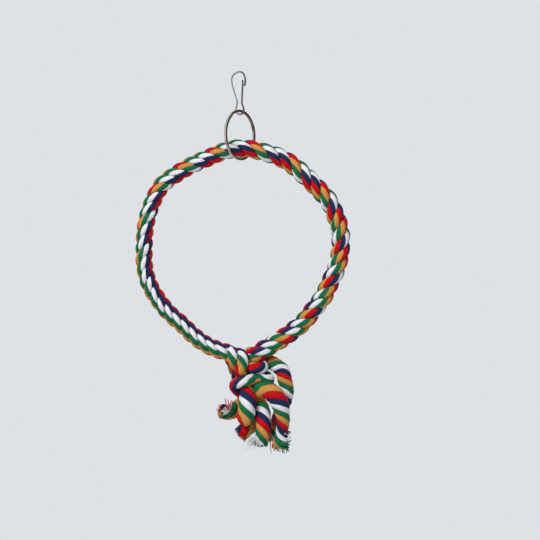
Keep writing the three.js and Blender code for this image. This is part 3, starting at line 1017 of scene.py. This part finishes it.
def spun_cotton():
    """Band is the way round with ragged edges. The tone output varies the colour at random, darkens flecks
    on the tan and paints shade into the furrows between bundles and the gaps between yarns; Fluff pales and
    Height lifts.
    """
    tree, ins, outs = new_group(
        "spun cotton", {"Around": 0, "Along": 0, "Ragged": 0.05}, ["Band", "Tone and shade", "Fluff", "Height"])
    circle = circle_of(tree, ins["Around"], STRAND_MM)
    wander, streak, fluff = (
        noise(tree, joined(tree, *circle, scaled(tree, ins["Along"], pace)), scale, detail)
        for pace, scale, detail in (WANDER, STREAK, FLUFF)
    )

    shift = scaled(tree, maths(tree, "SUBTRACT", wander, 0.5), ins["Ragged"])
    fringe = scaled(tree, maths(tree, "SUBTRACT", streak, 0.5), FRINGE)
    band = maths(tree, "ADD", ins["Around"], maths(tree, "ADD", shift, fringe))
    feed(tree, outs["Band"], maths(tree, "FRACT", band))

    bundle_waves = scaled(tree, ins["Around"], math.pi * BUNDLES)
    shifted = maths(tree, "ADD", ins["Around"], shift)
    yarn_waves = scaled(tree, shifted, math.pi * BUNDLES * YARNS_IN_BUNDLE)
    ply_waves = maths(tree, "ADD", yarn_waves, scaled(tree, ins["Along"], PLY_SLANT))
    bundle, ridge, ply = (
        maths(tree, "ABSOLUTE", maths(tree, "SINE", waves))
        for waves in (bundle_waves, yarn_waves, ply_waves)
    )

    # Painted shade: the colour darkens in the furrows between bundles and in the gaps between yarns.
    furrow_shade = maths(tree, "POWER", maths(tree, "SUBTRACT", 1, bundle), FURROW_POWER)
    gap = maths(tree, "POWER", maths(tree, "SUBTRACT", 1, ridge), GAP_POWER)
    dots = joined(tree, scaled(tree, ins["Around"], SPECKS_AROUND), ins["Along"], 0)
    speck = maths(tree, "GREATER_THAN", noise(tree, dots, SPECK_SCALE, SPECK_DETAIL), SPECK_FROM)
    on_tan = maths(tree, "LESS_THAN", ins["Around"], 1 / BUNDLES)
    speck = scaled(tree, maths(tree, "MULTIPLY", speck, on_tan), SPECK_DARK)
    shade_and_flecks = maths(tree, "ADD", scaled(tree, furrow_shade, FURROW_SHADE), scaled(tree, gap, GAP_SHADE))
    shade_and_flecks = maths(tree, "ADD", shade_and_flecks, speck)
    light = maths(tree, "ADD", LEAST_LIGHT, scaled(tree, streak, STREAK_LIGHT))
    tone_and_shade = maths(tree, "MULTIPLY", light, maths(tree, "SUBTRACT", 1, shade_and_flecks, clamp=True))
    feed(tree, outs["Tone and shade"], tone_and_shade)

    feed(tree, outs["Fluff"], ranged(tree, fluff, FLUFF_FROM, FLUFF_FULL))
    height = maths(tree, "ADD", scaled(tree, ridge, RIDGE_HEIGHT), scaled(tree, ply, PLY_HEIGHT))
    height = maths(tree, "ADD", height, scaled(tree, streak, STREAK_HEIGHT))
    feed(tree, outs["Height"], height)
    return tree


cotton_group = spun_cotton()
print("cotton:", ", ".join(YARN_COLOURS), "yarns")

# %% Cotton on the pieces
SOFT_EDGE = 0.006
COTTON_SHINE = 0.1
COTTON_ROUGH, ROUGH_CHANGE = 0.97, 0.12
COTTON_RELIEF = 0.35 * MM
PALE_FLUFF = (0.66, 0.64, 0.66)


def yarn_ramp(tree):
    """A ramp with one even stretch for each bundle of yarn and a soft edge between them."""
    ramp = new_node(tree, "ShaderNodeValToRGB")
    stops = ramp.color_ramp.elements
    stops.remove(stops[-1])
    for index, colour in enumerate(YARN_COLOURS.values()):
        start, end = index / BUNDLES + SOFT_EDGE, (index + 1) / BUNDLES - SOFT_EDGE
        first = stops[0] if index == 0 else stops.new(start)
        first.color = (*colour, 1)
        stops.new(end).color = (*colour, 1)
    stops[0].position = SOFT_EDGE
    return ramp


def cotton_material(name, ragged, bump, fluff):
    material, tree, shader = new_material(name)
    cotton = on_own_map(tree, cotton_group)
    feed(tree, cotton.inputs["Ragged"], ragged)
    ramp = yarn_ramp(tree)
    feed(tree, ramp.inputs["Fac"], cotton.outputs["Band"])
    # The tone multiplies the painted shade of the furrows and gaps into the yarn colours.
    tone_and_shade = joined(tree, *[cotton.outputs["Tone and shade"]] * 3)
    shaded = blended(tree, 1.0, ramp.outputs["Color"], tone_and_shade, "MULTIPLY")
    pale = scaled(tree, cotton.outputs["Fluff"], fluff)
    smoother = scaled(tree, cotton.outputs["Height"], ROUGH_CHANGE)
    feed(tree, shader.inputs["Base Color"], blended(tree, pale, shaded, (*PALE_FLUFF, 1)))
    feed(tree, shader.inputs["Roughness"], maths(tree, "SUBTRACT", COTTON_ROUGH, smoother))
    feed(tree, shader.inputs["Normal"], relief(tree, cotton.outputs["Height"], bump, COTTON_RELIEF))
    shader.inputs["Specular IOR Level"].default_value = COTTON_SHINE
    return material


laid_cotton = cotton_material("laid_cotton", 0.05, 0.7, 0.03)
loose_cotton = cotton_material("loose_cotton", 0.07, 0.8, 0.045)
loose_pieces = [*tails.values(), *frayed_ends.values(), threads]
for piece in strands:
    piece.data.materials.append(laid_cotton)
for piece in loose_pieces:
    piece.data.materials.append(loose_cotton)
print(f"{laid_cotton.name} on {len(strands)} pieces, {loose_cotton.name} on {len(loose_pieces)}")

# %% [markdown]
# ## Nickel-plated wire
# Drawn wire has fine lines along it and the plating dulls in patches. The group puts out both
# from the wire's own map, and each material places it with its own values. The clip and the ring
# are painted darker on the gate's side as painted shade, so the materials also read the place
# across the clip.

# %% Plated steel
LINE_PACE, LINE_DETAIL = 0.02, 2
PATCH_SCALE, PATCH_DETAIL = 0.8, 4
# Across the clip, where the painted shade on the gate's side begins and where it is full.
SHADE_FROM_X, FULL_SHADE_X = -0.5 * MM, 2 * MM
PATCH_DULL = 0.3
ROUGHER = 0.08
WIRE_BUMP, WIRE_RELIEF = 0.15, 0.05 * MM


def drawn_wire():
    """Lines is the fine drawing marks along the wire, Patches the dull spots."""
    tree, ins, outs = new_group("drawn wire", {"Around": 0, "Along": 0, "Marks": 30}, ["Lines", "Patches"])
    circle = circle_of(tree, ins["Around"])
    drawn_out = joined(tree, *circle, scaled(tree, ins["Along"], LINE_PACE))
    feed(tree, outs["Lines"], noise(tree, drawn_out, ins["Marks"], LINE_DETAIL))
    spots = noise(tree, joined(tree, *circle, ins["Along"]), PATCH_SCALE, PATCH_DETAIL)
    feed(tree, outs["Patches"], spots)
    return tree


wire_group = drawn_wire()


def steel_material(name, bright, dull_and_shade_colour, rough, marks, gate_shade=1.0):
    material, tree, shader = new_material(name)
    worn = on_own_map(tree, wire_group)
    feed(tree, worn.inputs["Marks"], marks)
    across = new_node(tree, "ShaderNodeSeparateXYZ")
    feed(tree, across.inputs[0], new_node(tree, "ShaderNodeTexCoord").outputs["Object"])
    # Painted shade: the base colour darkens towards the gate's side, and the plating's dull patches add to
    # it.
    gate_side_shade = ranged(tree, across.outputs["X"], SHADE_FROM_X, FULL_SHADE_X, gate_shade)
    patches = worn.outputs["Patches"]
    worn_and_shaded = maths(tree, "ADD", gate_side_shade, scaled(tree, patches, PATCH_DULL), clamp=True)
    both = maths(tree, "ADD", scaled(tree, worn.outputs["Lines"], ROUGHER), scaled(tree, patches, ROUGHER))
    feed(tree, shader.inputs["Base Color"], blended(tree, worn_and_shaded, (*bright, 1), (*dull_and_shade_colour, 1)))
    feed(tree, shader.inputs["Roughness"], maths(tree, "ADD", rough, both))
    feed(tree, shader.inputs["Normal"], relief(tree, worn.outputs["Lines"], WIRE_BUMP, WIRE_RELIEF))
    shader.inputs["Metallic"].default_value = 1
    return material


# The ring's last number is how strong the painted shade on its gate side is; the clip takes it in full.
round_wire = steel_material("plated_round_wire", (0.50, 0.46, 0.43), (0.16, 0.133, 0.117), 0.30, 14)
flat_wire = steel_material("plated_flat_wire", (0.64, 0.59, 0.53), (0.27, 0.22, 0.18), 0.10, 20, 0.6)
clip_body.data.materials.append(round_wire)
clip_gate.data.materials.append(round_wire)
split_ring.data.materials.append(flat_wire)
print(f"{round_wire.name} on the clip, {flat_wire.name} on the ring")

# %% [markdown]
# ## What moves with what
# Every piece rides on a body of the model, and the wires, strands and tails each stand for one
# of its nodes. The hoop is one rope, and each tail is a cord of its own that leaves the rope at
# the knot. A cord is declared at least six times as long as it is thick.

for piece, body, node, finish in (
    (clip_body, "clip", "clip_body", "steel_wire"),
    (clip_gate, "gate", "clip_gate", "steel_wire"),
    (split_ring, "ring", "split_ring", "steel_flat_wire"),
):
    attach(piece, body)
    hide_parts(node)
for index, strand in enumerate(strands):
    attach(strand, "rope")
    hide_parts(f"hoop_strand_{index + 1}")
for piece in [*frayed_ends.values(), threads]:
    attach(piece, "rope")
for name, tail in tails.items():
    course = courses[name]
    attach(tail, "rope")
    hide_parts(name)

# %% [markdown]
# ## The studio
# A pale floor far below and a pale room all round. The room is seen at full strength by the
# camera and in the metal, and lights the cotton at a third, so that one large soft lamp high on
# the left shapes the strands and their creases stay dark. Metal under an even sky looks flat,
# so dark screens and a bright one stand round it, which only reflections see. A lamp behind
# serves the views from there.

# %% The room and the floor
PALE = (0.73, 0.755, 0.79)
SKY_STRENGTH = 0.32
MATT = 0.9
FLOOR_Z = -0.75
FLOOR_RADIUS = 2.6
FLOOR_SIDES = 96
FLOOR_GLOW = (0.80, 0.83, 0.87)
FLOOR_GLOW_SHARE = 0.75


def in_view(tree):
    """1 for what the camera, metal and glass see, 0 where light falls on something."""
    rays = new_node(tree, "ShaderNodeLightPath").outputs
    straight = maths(tree, "MAXIMUM", rays["Is Camera Ray"], rays["Is Glossy Ray"])
    return maths(tree, "MAXIMUM", straight, rays["Is Transmission Ray"])


def plain_material(name, colour):
    material, tree, shader = new_material(name)
    shader.inputs["Base Color"].default_value = (*colour, 1)
    shader.inputs["Roughness"].default_value = MATT
    return material, tree, shader


def floor_material():
    """The camera sees the floor mostly at the room's colour, with the shadow still on it."""
    material, tree, shader = plain_material("pale_floor", PALE)
    glow = new_node(tree, "ShaderNodeEmission")
    feed(tree, glow.inputs["Color"], (*FLOOR_GLOW, 1))
    both = new_node(tree, "ShaderNodeMixShader")
    feed(tree, both.inputs[0], scaled(tree, in_view(tree), FLOOR_GLOW_SHARE))
    feed(tree, both.inputs[1], shader.outputs[0])
    feed(tree, both.inputs[2], glow.outputs[0])
    feed(tree, tree.nodes["Material Output"].inputs["Surface"], both.outputs[0])
    return material


def staged(name, sheet, material):
    mesh = bpy.data.meshes.new(name)
    sheet.to_mesh(mesh)
    sheet.free()
    mesh.materials.append(material)
    thing = bpy.data.objects.new(name, mesh)
    bpy.context.scene.collection.objects.link(thing)
    return thing


world = bpy.data.worlds.new("room")
bpy.context.scene.world = world
world.use_nodes = True
room = world.node_tree
background = room.nodes["Background"]
background.inputs["Color"].default_value = (*PALE, 1)
when_seen = scaled(room, in_view(room), 1 - SKY_STRENGTH)
feed(room, background.inputs["Strength"], maths(room, "ADD", SKY_STRENGTH, when_seen))

disc = bmesh.new()
bmesh.ops.create_circle(disc, cap_ends=True, segments=FLOOR_SIDES, radius=FLOOR_RADIUS)
bmesh.ops.translate(disc, verts=disc.verts, vec=(0, 0, FLOOR_Z))
staged("floor", disc, floor_material())
print(f"room: lights at {SKY_STRENGTH:.2f}, floor {-FLOOR_Z:.2f} m below the clip")

# %% Screens for the metal
DARK, BRIGHT = (0.10, 0.072, 0.055), (1, 0.97, 0.92)
RING_MIDDLE = Vector((0, 0, -0.04))
SCREENS = [
    ("screen_right", (1.0, 0.36, -0.05), (0.9, 1.3), DARK),
    ("screen_front", (0.8, -0.75, -0.1), (0.5, 1.1), DARK),
    ("screen_below", (0, -0.9, -0.75), (2.0, 0.7), DARK),
    ("screen_left", (-1.2, -0.5, 0), (0.35, 0.9), BRIGHT),
]
for name, place, size, colour in SCREENS:
    card = bmesh.new()
    bmesh.ops.create_grid(card, x_segments=1, y_segments=1, size=0.5)
    aim = (RING_MIDDLE - Vector(place)).to_track_quat("Z", "Y").to_matrix()
    for vertex in card.verts:
        vertex.co = Vector(place) + aim @ Vector((vertex.co.x * size[0], vertex.co.y * size[1], 0))
    finish, _, shader = plain_material(name, colour)
    if colour == BRIGHT:
        shader.inputs["Emission Color"].default_value = (*BRIGHT, 1)
        shader.inputs["Emission Strength"].default_value = 1
    screen = staged(name, card, finish)
    screen.visible_camera = False
    screen.visible_diffuse = False
    screen.visible_shadow = False
    screen.visible_transmission = False
    print(f"{name}: {size[0]} by {size[1]} m")

# %% Lamps
HOOP_MIDDLE = Vector((0, 0, -0.14))
LAMPS = [
    ("key", (-0.7, -1.1, 0.8), 0.9, 24),
    ("fill", (1.1, -0.9, 0.1), 0.8, 2.5),
    ("rear", (0.7, 1.2, 0.6), 0.9, 14),
]
for name, place, size, power in LAMPS:
    light = bpy.data.lights.new(name, "AREA")
    light.shape = "DISK"
    light.size = size
    light.energy = power
    holder = bpy.data.objects.new(name, light)
    holder.location = place
    holder.rotation_euler = (HOOP_MIDDLE - Vector(place)).to_track_quat("-Z", "Y").to_euler()
    holder.visible_glossy = name != "key"
    bpy.context.scene.collection.objects.link(holder)
    print(f"{name} lamp: {power} W")

# %% The last lines
bpy.context.scene.view_settings.view_transform = "Standard"
